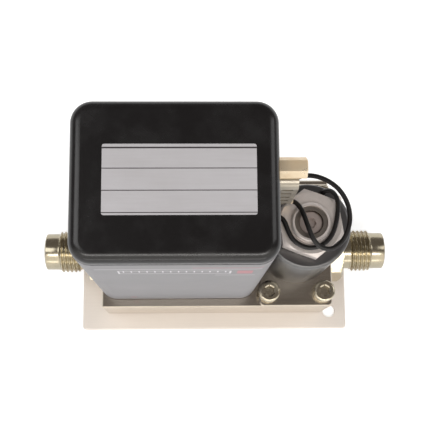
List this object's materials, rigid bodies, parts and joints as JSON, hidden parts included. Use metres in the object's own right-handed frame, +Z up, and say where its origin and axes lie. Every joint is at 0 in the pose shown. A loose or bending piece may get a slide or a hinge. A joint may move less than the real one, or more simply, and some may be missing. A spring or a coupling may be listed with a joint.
{
  "type": "mass flow controller",
  "caption": "Thermal mass flow controller: steel flow body with face-seal ports, tall covered sensor side, solenoid valve coil, upright data connector and mounting plate.",
  "frame": {"origin": "underside of the mounting plate, straight below the middle of the port axis", "axes": "+X along the flow from inlet to outlet, +Y to the back, +Z up"},
  "size_m": [0.1176, 0.0507, 0.119],
  "materials": {
    "satin_plate": "satin stainless sheet",
    "polished_body": "finely machined, near mirror",
    "turned_steel": "turned stainless",
    "zinc_screw": "bright screw steel",
    "black_paint": "black stove enamel",
    "coil_black": "black moulded housing, slight sheen",
    "nickel": "nickel plate",
    "tin": "tin plate",
    "brass_gold": "gold flashed",
    "insulator_black": "moulded",
    "seal_rubber": "fluoroelastomer",
    "lead_black": "insulated wire",
    "label_silver": "silver polyester film",
    "label_grey": "grey polyester film, printed",
    "board_green": "solder mask over glass laminate",
    "chip_black": "moulded",
    "capacitor_blue": "sleeve",
    "resistor_tan": "lacquer",
    "pot_blue": "moulded",
    "header_white": "moulded",
    "flex_amber": "polyimide",
    "sinter": "sintered stainless",
    "winding_red": "enamelled wire",
    "magnet_steel": "magnetic stainless",
    "plug_rubber": "moulded",
    "adjuster_dark": "black oxide"
  },
  "bodies": {
    "controller": {"mounting_plate": "satin_plate", "plate_screws": "zinc_screw", "flow_body": "polished_body", "inlet_adapter": "turned_steel", "outlet_adapter": "turned_steel", "inlet_seal": "seal_rubber", "outlet_seal": "seal_rubber", "inlet_filter": "sinter", "flow_restrictor": "turned_steel", "restrictor_keeper": "turned_steel", "sensor_base": "turned_steel", "sensor_seals": "seal_rubber", "sensor_screws": "zinc_screw", "sensor_tube": "turned_steel", "sensor_windings": "winding_red", "sensor_cover": "tin", "valve_orifice": "turned_steel", "orifice_seal": "seal_rubber", "valve_stem": "magnet_steel", "stem_seal": "seal_rubber", "stem_adjuster": "adjuster_dark", "plunger_spring": "turned_steel", "valve_retainer": "turned_steel", "retainer_screws": "zinc_screw", "coil_housing": "coil_black", "coil_base_ring": "magnet_steel", "coil_bobbin": "insulator_black", "coil_winding": "winding_red", "coil_washer": "zinc_screw", "coil_nut": "nickel", "cover_can": "black_paint", "can_screws": "zinc_screw", "access_plugs": "plug_rubber", "top_label": "label_silver", "wrap_label": "label_grey", "board_angle": "tin", "angle_screws": "zinc_screw", "circuit_board": "board_green", "board_spacers": "header_white", "board_screws": "zinc_screw", "capacitors": "capacitor_blue", "chips": "chip_black", "resistors": "resistor_tan", "trim_pots": "pot_blue", "trim_screws": "brass_gold", "sensor_header": "header_white", "sensor_flex": "flex_amber", "connector_shell": "nickel", "connector_insulator": "insulator_black", "connector_pins": "brass_gold", "jackscrews": "nickel", "jack_nuts": "nickel", "lead_grommet": "plug_rubber", "coil_lead_front": "lead_black", "coil_lead_back": "lead_black", "lead_tails": "lead_black"},
    "plunger": {"valve_plunger": "magnet_steel", "plunger_seat": "seal_rubber"}
  },
  "joints": [
    {"name": "plunger_lift", "type": "slide", "parent": "controller", "child": "plunger", "axis": [0, 0, 1], "range_m": [0, 0.0004], "stiffness_N_per_m": 500, "springref_m": -0.004, "deforming": ["plunger_spring"]}
  ]
}
